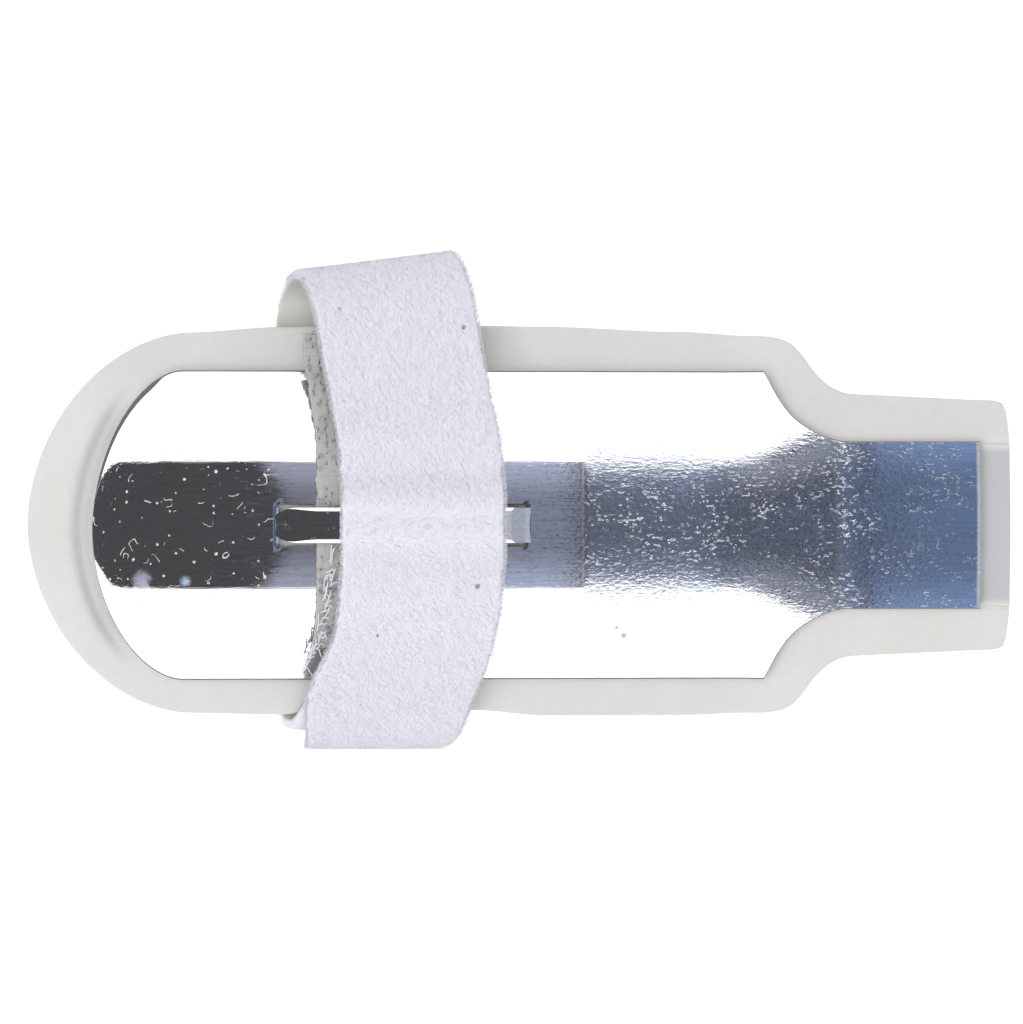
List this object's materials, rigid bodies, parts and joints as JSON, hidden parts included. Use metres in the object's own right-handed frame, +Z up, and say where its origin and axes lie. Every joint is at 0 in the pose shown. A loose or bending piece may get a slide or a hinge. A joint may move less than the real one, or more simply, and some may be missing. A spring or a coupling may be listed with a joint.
{
  "type": "finger splint",
  "caption": "Padded aluminium finger splint, a cupped trough with a foam liner and a pile strap that loops round the finger.",
  "frame": {"origin": "under the middle of the whole splint, strap included, on the surface that it rests on", "axes": "+X along the finger from the closed tip towards the narrow tail, +Y across the finger towards the side where the strap stands out in a loose bend, +Z up out of the metal side"},
  "size_m": [0.0826, 0.0426, 0.0186],
  "materials": {
    "polished_aluminium": "polished, lightly brushed along its length",
    "foam": "matt closed-cell foam",
    "pile_tape": "short brushed pile",
    "hook_tape": "woven tape with fine plastic hooks"
  },
  "bodies": {
    "root": {"shell": "polished_aluminium", "foam_liner": "foam", "strap": "pile_tape", "hook_tape": "hook_tape"}
  },
  "joints": []
}
